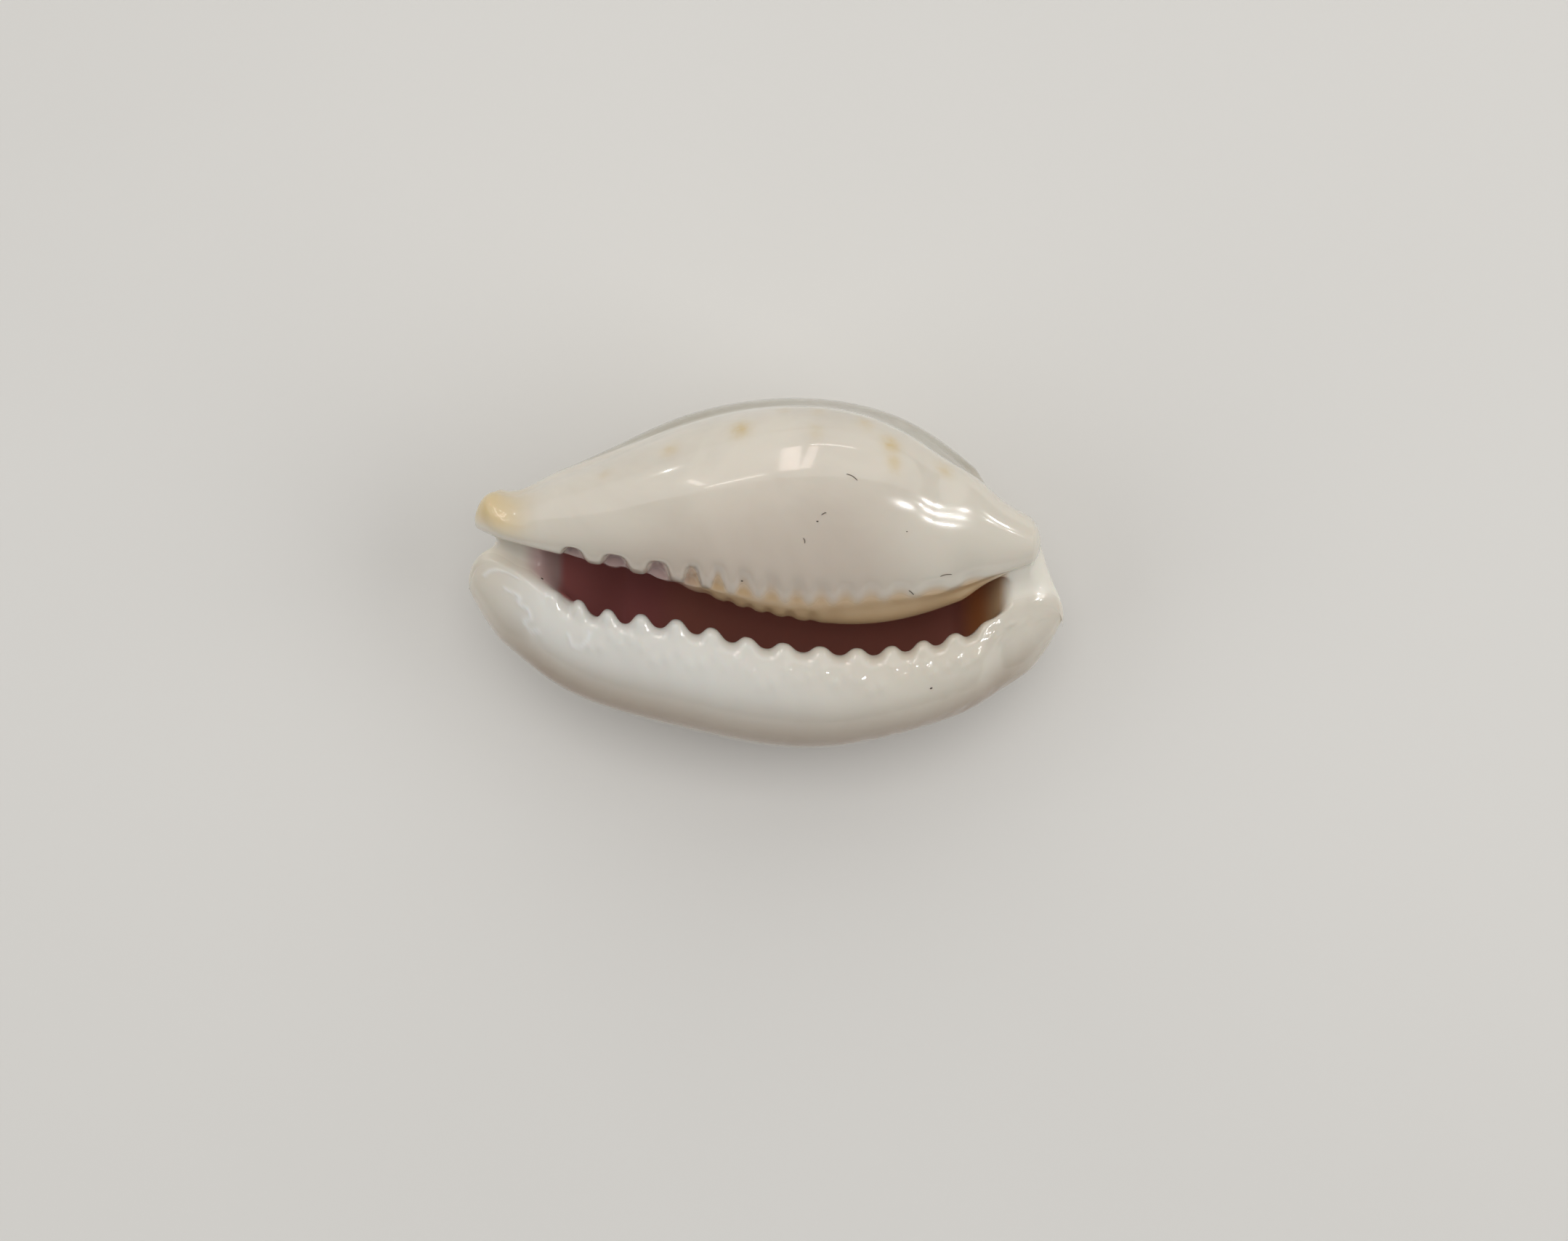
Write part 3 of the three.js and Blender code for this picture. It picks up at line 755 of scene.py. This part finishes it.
def mottle_group():
    """A node group that drifts a colour towards a second one in soft uneven clouds."""
    name = "soft clouds"
    if name in bpy.data.node_groups:
        return bpy.data.node_groups[name]
    group = bpy.data.node_groups.new(name, "ShaderNodeTree")
    socket = group.interface.new_socket
    socket(name="Place", in_out="INPUT", socket_type="NodeSocketVector")
    socket(name="Colour", in_out="INPUT", socket_type="NodeSocketColor")
    socket(name="Cloud Colour", in_out="INPUT", socket_type="NodeSocketColor")
    socket(name="Scale", in_out="INPUT", socket_type="NodeSocketFloat")
    socket(name="Amount", in_out="INPUT", socket_type="NodeSocketFloat")
    socket(name="Colour", in_out="OUTPUT", socket_type="NodeSocketColor")
    socket(name="Clouds", in_out="OUTPUT", socket_type="NodeSocketFloat")
    nodes = Nodes(group)
    enter, leave = nodes.add("NodeGroupInput"), nodes.add("NodeGroupOutput")
    clouds = nodes.noise(enter.outputs["Place"], enter.outputs["Scale"], 4.0, 0.55, 0.6)
    share = nodes.math("MULTIPLY", nodes.remap(clouds, 0.35, 0.7), enter.outputs["Amount"])
    mixed = nodes.mix(share, enter.outputs["Colour"], enter.outputs["Cloud Colour"])
    nodes.join(mixed, leave.inputs["Colour"])
    nodes.join(clouds, leave.inputs["Clouds"])
    return group


def place_mottle(nodes, place, base, cloud, scale, amount):
    """Puts the cloud group in a material and returns its node."""
    node = nodes.add("ShaderNodeGroup", node_tree=mottle_group())
    nodes.join(place, node.inputs["Place"])
    nodes.put(base, node.inputs["Colour"])
    nodes.put(cloud, node.inputs["Cloud Colour"])
    nodes.put(scale, node.inputs["Scale"])
    nodes.put(amount, node.inputs["Amount"])
    return node


def new_material(name):
    """A material with a shader: the material, its nodes, the shader, and the place on the piece."""
    material = bpy.data.materials.new(name)
    material.use_nodes = True
    nodes = Nodes(material.node_tree)
    leave = nodes.add("ShaderNodeOutputMaterial")
    shader = nodes.add("ShaderNodeBsdfPrincipled")
    nodes.join(shader.outputs["BSDF"], leave.inputs["Surface"])
    place = nodes.add("ShaderNodeTexCoord").outputs["Object"]
    return material, nodes, shader, place


def shell_material(paint):
    """Glossy porcelain enamel: cream outside, tan ledge, dark brown hollow, faint orange spots."""
    material, nodes, shader, place = new_material("cowrie enamel")
    enamel = place_mottle(nodes, place, paint.enamel, paint.enamel_cloud, ENAMEL_CLOUD_SCALE, 0.7)
    tone = enamel.outputs["Colour"]
    # Whiter enamel and painted light on the lip's top face
    tone = nodes.tint(tone, "whiter_and_lit_top_of_lip", 0.75, paint.whiter_and_lit_top_of_lip)
    tone = nodes.tint(tone, "blush", 0.45, paint.blush)
    # Fawn tint and painted shade under the outer lip
    tone = nodes.tint(tone, "fawn_and_shade_under_lip", 0.9, paint.fawn_and_shade_under_lip)

    dots = nodes.add("ShaderNodeTexVoronoi", distance="EUCLIDEAN")
    nodes.join(place, dots.inputs["Vector"])
    dots.inputs["Scale"].default_value = BACK_DOT_SCALE
    pale_dots = nodes.remap(dots.outputs["Distance"], 0.4, 0.12)
    back = place_mottle(nodes, place, paint.back, paint.back_cloud, BACK_CLOUD_SCALE, 0.8)
    deep_back = nodes.remap(nodes.mask("back"), 0.9, 1.0)
    dot_share = nodes.math("MULTIPLY", nodes.math("MULTIPLY", pale_dots, deep_back), 0.25)
    back_tone = nodes.mix(dot_share, back.outputs["Colour"], paint.enamel)
    tone = nodes.mix(nodes.mask("back"), tone, back_tone)
    # Painted highlight: a pale line along the rim of the base
    tone = nodes.tint(tone, "cream_and_rim_highlight", 0.8, paint.cream_and_rim_highlight)
    # Painted highlight: the raised enamel lines are tinted white where they would catch reflections
    tone = nodes.tint(tone, "enamel_line", 0.5, paint.lines)
    knob_clouds = nodes.remap(enamel.outputs["Clouds"], 0.2, 0.6, 0.55, 1.0)
    tone = nodes.tint(tone, "knob", knob_clouds, paint.knob)
    grain = nodes.noise(place, SPOT_GRAIN_SCALE, 2.0)
    tone = nodes.tint(tone, "spots", nodes.remap(grain, 0.25, 0.65, 0.55, 1.0), paint.spots)

    ledge_tone = nodes.ramp(
        nodes.mask("along"),
        [
            (0.05, paint.enamel),
            (0.20, paint.purple),
            (0.32, paint.purple),
            (0.42, paint.ledge),
            (0.84, paint.ledge),
            (0.94, paint.enamel),
        ],
    )
    tone = nodes.mix(nodes.mask("ledge"), tone, ledge_tone)
    deep_tone = nodes.ramp(
        nodes.mask("along"),
        [
            (0.04, paint.enamel),
            (0.09, paint.enamel_cloud),
            (0.12, paint.purple),
            (0.148, paint.purple),
            (0.162, paint.hollow_front),
            (0.29, paint.hollow_front),
            (0.36, paint.hollow),
            (0.83, paint.hollow),
            (0.862, paint.fringe),
            (0.888, paint.ledge),
            # the rear canal ends in pale cream, the colour of the painted rim highlight
            (0.905, paint.cream_and_rim_highlight),
        ],
    )
    tone = nodes.mix(nodes.mask("deep"), tone, deep_tone)
    nodes.join(tone, shader.inputs["Base Color"])

    smear = nodes.noise(place, SMEAR_SCALE, 3.0)
    gloss = nodes.remap(smear, 0.3, 0.75, paint.roughness, paint.roughness + SMEAR_ROUGHNESS)
    inside = nodes.math("MAXIMUM", nodes.mask("deep"), nodes.mask("ledge"))
    gloss = nodes.math("ADD", gloss, nodes.math("MULTIPLY", inside, INSIDE_ROUGHNESS))
    nodes.join(gloss, shader.inputs["Roughness"])

    pits = nodes.add("ShaderNodeTexVoronoi", feature="SMOOTH_F1")
    nodes.join(place, pits.inputs["Vector"])
    pits.inputs["Scale"].default_value = PIT_SCALE
    pitted = nodes.math("MULTIPLY", pits.outputs["Distance"], nodes.mask("pitted"))
    height = nodes.math("MULTIPLY", pitted, 1.6)
    height = nodes.math("ADD", height, nodes.math("MULTIPLY", smear, 0.5))
    bump = nodes.add("ShaderNodeBump")
    bump.inputs["Strength"].default_value = 0.35
    bump.inputs["Distance"].default_value = BUMP_HEIGHT
    nodes.join(height, bump.inputs["Height"])
    nodes.join(bump.outputs["Normal"], shader.inputs["Normal"])

    shader.inputs["IOR"].default_value = 1.55
    shader.inputs["Subsurface Weight"].default_value = 0.2
    shader.inputs["Subsurface Radius"].default_value = (1.0, 0.55, 0.35)
    shader.inputs["Subsurface Scale"].default_value = 0.9 * MM
    shader.inputs["Coat Weight"].default_value = 0.7
    shader.inputs["Coat Roughness"].default_value = 0.04
    return material


def dust_material(dust):
    """Matt lint, uneven along each fibre, and darker specks."""
    material, nodes, shader, place = new_material("lint and specks")
    darker = tuple(0.55 * c for c in dust.fibre[:3])
    lint = place_mottle(nodes, place, dust.fibre, darker, LINT_CLOUD_SCALE, 0.8)
    tone = nodes.mix(nodes.mask("speck"), lint.outputs["Colour"], dust.speck)
    nodes.join(tone, shader.inputs["Base Color"])
    shader.inputs["Roughness"].default_value = 0.8
    return material


def floor_material(tone):
    """Matt pale board with the faintest clouding."""
    material, nodes, shader, place = new_material("pale floor")
    darker = tuple(0.93 * c for c in tone[:3])
    board = place_mottle(nodes, place, tone, darker, FLOOR_CLOUD_SCALE, 0.5)
    nodes.join(board.outputs["Colour"], shader.inputs["Base Color"])
    shader.inputs["Roughness"].default_value = 0.85
    return material


# Settings that a user can change


def length_property(name, description, default):
    """A length that a user can change."""
    return bpy.props.FloatProperty(
        name=name, description=description, default=default, min=0, unit="LENGTH", subtype="DISTANCE"
    )


def paint_property(name, description, default):
    """A colour that a user can change."""
    return bpy.props.FloatVectorProperty(
        name=name, description=description, default=default, subtype="COLOR", size=3, min=0, max=1
    )


class CowrieShape(bpy.types.PropertyGroup):
    """Heights of the shell's relief."""

    lip_tooth_height: length_property(
        "Lip tooth height", "From the crest of an outer lip tooth to the groove beside it", 0.48 * MM
    )
    columella_tooth_height: length_property(
        "Columella tooth height", "From the crest of a columella tooth to the groove beside it", 0.34 * MM
    )
    ledge_scallop_height: length_property(
        "Ledge scallop height", "Height of the scallops on the ledge's edge", 0.09 * MM
    )
    rim_height: length_property(
        "Rim height", "How far the rim of the base stands above the back beside it", 0.07 * MM
    )
    dimple_depth: length_property(
        "Dimple depth", "Depth of the dimples on the outer lip's margin near the spire end", 0.06 * MM
    )
    enamel_line_height: length_property(
        "Enamel line height", "Height of the thin lines of enamel on the front end of the lip", 0.045 * MM
    )
    lump_height: length_property(
        "Lump height", "Height of the small lumps that glitter below the lip's teeth", 0.062 * MM
    )
    unevenness: length_property(
        "Unevenness", "Height of the slow swells of the grown surface", 0.03 * MM
    )


class CowriePaint(bpy.types.PropertyGroup):
    """Colours and gloss of the enamel."""

    enamel: paint_property("Enamel", "Cream white of the base and lip", colour(232, 224, 208))
    enamel_cloud: paint_property("Enamel clouds", "Greyer cream in the enamel", colour(214, 205, 190))
    # Whiter enamel and painted light on the lip's top face, below its teeth
    whiter_and_lit_top_of_lip: paint_property("Lip top", "Whiter enamel below the lip's teeth", colour(240, 238, 231))
    # Fawn tint and painted shade under the outer lip, darker than the lit lip above it
    fawn_and_shade_under_lip: paint_property("Lip underside", "Fawn tint under the outer lip", colour(144, 114, 82))
    blush: paint_property("Blush", "Pinkish fawn of the columella towards its teeth", colour(196, 174, 157))
    back: paint_property("Back", "Greyish cream of the back", colour(184, 178, 160))
    back_cloud: paint_property("Back clouds", "Fawn that the back drifts to", colour(168, 157, 136))
    # Pale colour of the painted highlight along the rim of the base, also the cream where the rear canal
    # ends
    cream_and_rim_highlight: paint_property("Rim line", "Pale line along the rim of the base", colour(246, 240, 226))
    # White of the painted highlight on the raised enamel lines of the lip's front end
    lines: paint_property("Enamel lines", "White lines on the lip's front end", colour(253, 252, 250))
    knob: paint_property("Front knob", "Yellow of the knob beside the front canal", colour(222, 199, 152))
    spots: paint_property("Spots", "Orange of the faint spots beside the rim", colour(214, 186, 122))
    ledge: paint_property("Ledge", "Tan of the ledge below the columella's teeth", colour(212, 180, 138))
    purple: paint_property("Purple", "Mauve of the front canal", colour(186, 158, 152))
    fringe: paint_property("Fringe", "Orange brown where the hollow ends at the rear", colour(226, 150, 88))
    hollow_front: paint_property("Hollow's front", "Purple brown of its front end", colour(182, 112, 108))
    hollow: paint_property("Hollow", "Dark brown of the hollow", colour(190, 124, 108))
    roughness: bpy.props.FloatProperty(
        name="Roughness",
        description="Roughness of the enamel",
        default=0.09,
        min=0,
        max=1,
        subtype="FACTOR",
    )


class CowrieStage(bpy.types.PropertyGroup):
    """The studio."""

    floor: paint_property("Floor", "Colour of the floor", colour(236, 233, 227))
    light: bpy.props.FloatProperty(
        name="Light",
        description="Strength of the studio lights, as a share",
        default=1.0,
        min=0,
        subtype="FACTOR",
    )


class CowrieDust(bpy.types.PropertyGroup):
    """The dust that lies on the shell."""

    fibre_thickness: length_property("Fibre thickness", "Thickness of the lint fibres", 0.036 * MM)
    speck_size: length_property("Speck size", "Half the length of the largest speck", 0.055 * MM)
    fibre: paint_property("Fibre", "Grey brown of the lint", colour(118, 108, 96))
    speck: paint_property("Speck", "Dark tone of the specks", colour(78, 70, 60))


# The pieces


class OBJECT_OT_cowrie_stage(bpy.types.Operator):
    """Adds the camera at the photograph's angle, a plain pale floor and soft lights"""

    bl_idname = "object.cowrie_stage"
    bl_label = "Add studio"

    CAMERA_ELEVATION = 85
    CAMERA_DISTANCE = 111.4 * MM
    LENS = 60
    AIM_RIGHT = 0.717 * MM
    AIM_DOWN = 1.984 * MM
    CLIP_START = 0.01
    FLOOR_SIZE = 1.2
    SKY_COLOUR = (0.95, 0.97, 1.0, 1)
    SKY_STRENGTH = 0.14
    LAMP_DISTANCE = 320  # millimetres from the shell's middle
    # Each lamp: name, degrees from +Y towards +X, degrees above the floor, width and height in millimetres,
    # brightness of its face, colour, and whether it only lights, is only mirrored by the enamel, or both
    LAMPS = [
        ["key softbox", -4, 34, 700, 420, 0.6, (1.0, 0.985, 0.97), "both"],
        ["top softbox", 0, 84, 150, 150, 3.25, (1.0, 0.985, 0.975), "lights"],
        ["left softbox", -100, 42, 260, 260, 1.1, (0.97, 0.985, 1.0), "lights"],
        ["right softbox", 100, 42, 260, 260, 1.6, (0.98, 0.99, 1.0), "lights"],
        ["window left", -4.5, 44, 26, 165, 3.0, (1.0, 0.84, 0.78), "mirrored"],
        ["window right", 2.6, 44, 16, 150, 2.5, (1.0, 0.84, 0.78), "mirrored"],
        ["window head", 9.5, 28.5, 84, 8, 4.5, (1.0, 0.92, 0.88), "mirrored"],
        ["window sill left", -27, 49, 9, 70, 5, (1.0, 0.92, 0.86), "mirrored"],
        ["window sill", -21.5, 59.5, 42, 7, 7, (1.0, 0.92, 0.86), "mirrored"],
        ["dot", -26, 17.5, 7, 7, 90, (1.0, 0.98, 0.95), "mirrored"],
        ["low spark", 70, 41.5, 10, 13, 150, (1.0, 0.99, 0.97), "mirrored"],
        ["side spark", 81, 46.5, 7, 14, 150, (1.0, 0.99, 0.97), "mirrored"],
        ["lowest spark", 94, 50, 8, 10, 150, (1.0, 0.99, 0.97), "mirrored"],
        ["middle spark", 76, 48.4, 6, 6, 90, (1.0, 0.99, 0.97), "mirrored"],
        ["high spark", 82.4, 58.2, 9, 26, 140, (1.0, 0.99, 0.97), "mirrored"],
        ["end spark", 71.5, 22.6, 13, 7, 90, (1.0, 0.99, 0.97), "mirrored"],
        ["end dot", 76.9, 28.8, 7, 6, 80, (1.0, 0.99, 0.97), "mirrored"],
    ]

    def execute(self, context):
        stage = context.scene.cowrie_stage
        low, high = (Vector(corner) for corner in CAD_BOX)
        middle = (low + high) / 2
        angle = math.radians(self.CAMERA_ELEVATION)
        towards = Vector((0, -math.cos(angle), math.sin(angle)))
        up = Vector((0, math.sin(angle), math.cos(angle)))
        camera = bpy.data.objects.new("camera", bpy.data.cameras.new("camera"))
        context.scene.collection.objects.link(camera)
        camera.data.lens = self.LENS
        camera.data.clip_start = self.CLIP_START
        camera.location = middle + towards * self.CAMERA_DISTANCE
        aim = middle + Vector((self.AIM_RIGHT, 0, 0)) - up * self.AIM_DOWN
        forward = (aim - camera.location).normalized()
        right = forward.cross(up).normalized()
        camera.rotation_mode = "QUATERNION"
        axes = Matrix((right, right.cross(forward), -forward)).transposed()
        camera.rotation_quaternion = axes.to_quaternion()
        context.scene.camera = camera

        bpy.ops.mesh.primitive_plane_add(size=self.FLOOR_SIZE, location=(0, 0, 0))
        floor = context.object
        floor.name = "floor"
        floor.data.materials.append(floor_material(stage.floor))

        for name, bearing, elevation, width, height, brightness, tint, use in self.LAMPS:
            lamp = bpy.data.lights.new(name, "AREA")
            lamp.shape = "RECTANGLE"
            lamp.size, lamp.size_y = width * MM, height * MM
            lamp.energy = brightness * stage.light * math.pi * lamp.size * lamp.size_y
            lamp.color = tint
            bearing, elevation = math.radians(bearing), math.radians(elevation)
            flat = math.cos(elevation)
            way = Vector((flat * math.sin(bearing), flat * math.cos(bearing), math.sin(elevation)))
            holder = bpy.data.objects.new(name, lamp)
            context.scene.collection.objects.link(holder)
            holder.visible_glossy = use != "lights"
            holder.visible_diffuse = use != "mirrored"
            holder.location = middle + way * self.LAMP_DISTANCE * MM
            holder.rotation_mode = "QUATERNION"
            holder.rotation_quaternion = (-way).to_track_quat("-Z", "Y")

        world = bpy.data.worlds.new("studio air")
        world.use_nodes = True
        sky = world.node_tree.nodes["Background"]
        sky.inputs["Color"].default_value = self.SKY_COLOUR
        sky.inputs["Strength"].default_value = self.SKY_STRENGTH * stage.light
        context.scene.world = world
        context.scene.view_settings.view_transform = "Standard"
        return {"FINISHED"}


class OBJECT_OT_cowrie_shell(bpy.types.Operator):
    """Builds the shell in one piece, with its teeth, rim, canals and hollow"""

    bl_idname = "object.cowrie_shell"
    bl_label = "Build shell"

    def execute(self, context):
        shape, paint = context.scene.cowrie_shape, context.scene.cowrie_paint
        points, faces, along, turn = shell_mesh(shape)
        mesh = bpy.data.meshes.new("porcelain_shell")
        mesh.from_pydata(lay_down(points).tolist(), [], faces.tolist())
        mesh.shade_smooth()
        for name, values in masks(along, turn).items():
            attribute = mesh.attributes.new(name, "FLOAT", "POINT")
            attribute.data.foreach_set("value", np.asarray(values, np.float32))
        if mesh.validate():
            raise RuntimeError("the shell's mesh had faces that Blender took out")
        mesh.materials.append(shell_material(paint))
        shell = bpy.data.objects.new("porcelain_shell", mesh)
        context.scene.collection.objects.link(shell)
        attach(shell, "root")
        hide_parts("cowrie_shell")
        return {"FINISHED"}


class OBJECT_OT_cowrie_dust(bpy.types.Operator):
    """Lays a few lint fibres and specks on the shell"""

    bl_idname = "object.cowrie_dust"
    bl_label = "Add dust"

    def execute(self, context):
        shape, settings = context.scene.cowrie_shape, context.scene.cowrie_dust
        shell_points = shell_mesh(shape)[0]
        points, faces, specks = dust_mesh(shape, settings)
        lying = lay_down(np.concatenate([shell_points, points]))[len(shell_points) :]
        mesh = bpy.data.meshes.new("dust")
        mesh.from_pydata(lying.tolist(), [], faces)
        mesh.shade_smooth()
        attribute = mesh.attributes.new("speck", "FLOAT", "POINT")
        attribute.data.foreach_set("value", np.array(specks, np.float32))
        if mesh.validate():
            raise RuntimeError("the dust's mesh had faces that Blender took out")
        mesh.materials.append(dust_material(settings))
        dust = bpy.data.objects.new("dust", mesh)
        context.scene.collection.objects.link(dust)
        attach(dust, "root")
        return {"FINISHED"}


class VIEW3D_PT_cowrie(bpy.types.Panel):
    """Buttons that build the shell and its studio"""

    bl_label = "Cowrie shell"
    bl_space_type = "VIEW_3D"
    bl_region_type = "UI"
    bl_category = "Cowrie"

    def draw(self, context):
        scene = context.scene
        for settings in (scene.cowrie_stage, scene.cowrie_shape, scene.cowrie_paint, scene.cowrie_dust):
            column = self.layout.column(align=True)
            for name in settings.__annotations__:
                column.prop(settings, name)
        self.layout.operator("object.cowrie_stage")
        self.layout.operator("object.cowrie_shell")
        self.layout.operator("object.cowrie_dust")


CLASSES = (
    CowrieShape,
    CowriePaint,
    CowrieStage,
    CowrieDust,
    OBJECT_OT_cowrie_stage,
    OBJECT_OT_cowrie_shell,
    OBJECT_OT_cowrie_dust,
    VIEW3D_PT_cowrie,
)


def register():
    for cls in CLASSES:
        bpy.utils.register_class(cls)
    bpy.types.Scene.cowrie_shape = bpy.props.PointerProperty(type=CowrieShape)
    bpy.types.Scene.cowrie_paint = bpy.props.PointerProperty(type=CowriePaint)
    bpy.types.Scene.cowrie_stage = bpy.props.PointerProperty(type=CowrieStage)
    bpy.types.Scene.cowrie_dust = bpy.props.PointerProperty(type=CowrieDust)


def unregister():
    del bpy.types.Scene.cowrie_dust
    del bpy.types.Scene.cowrie_stage
    del bpy.types.Scene.cowrie_paint
    del bpy.types.Scene.cowrie_shape
    for cls in reversed(CLASSES):
        bpy.utils.unregister_class(cls)


def main():
    register()
    bpy.ops.object.cowrie_stage()
    bpy.ops.object.cowrie_shell()
    bpy.ops.object.cowrie_dust()


if __name__ == "__main__":
    main()
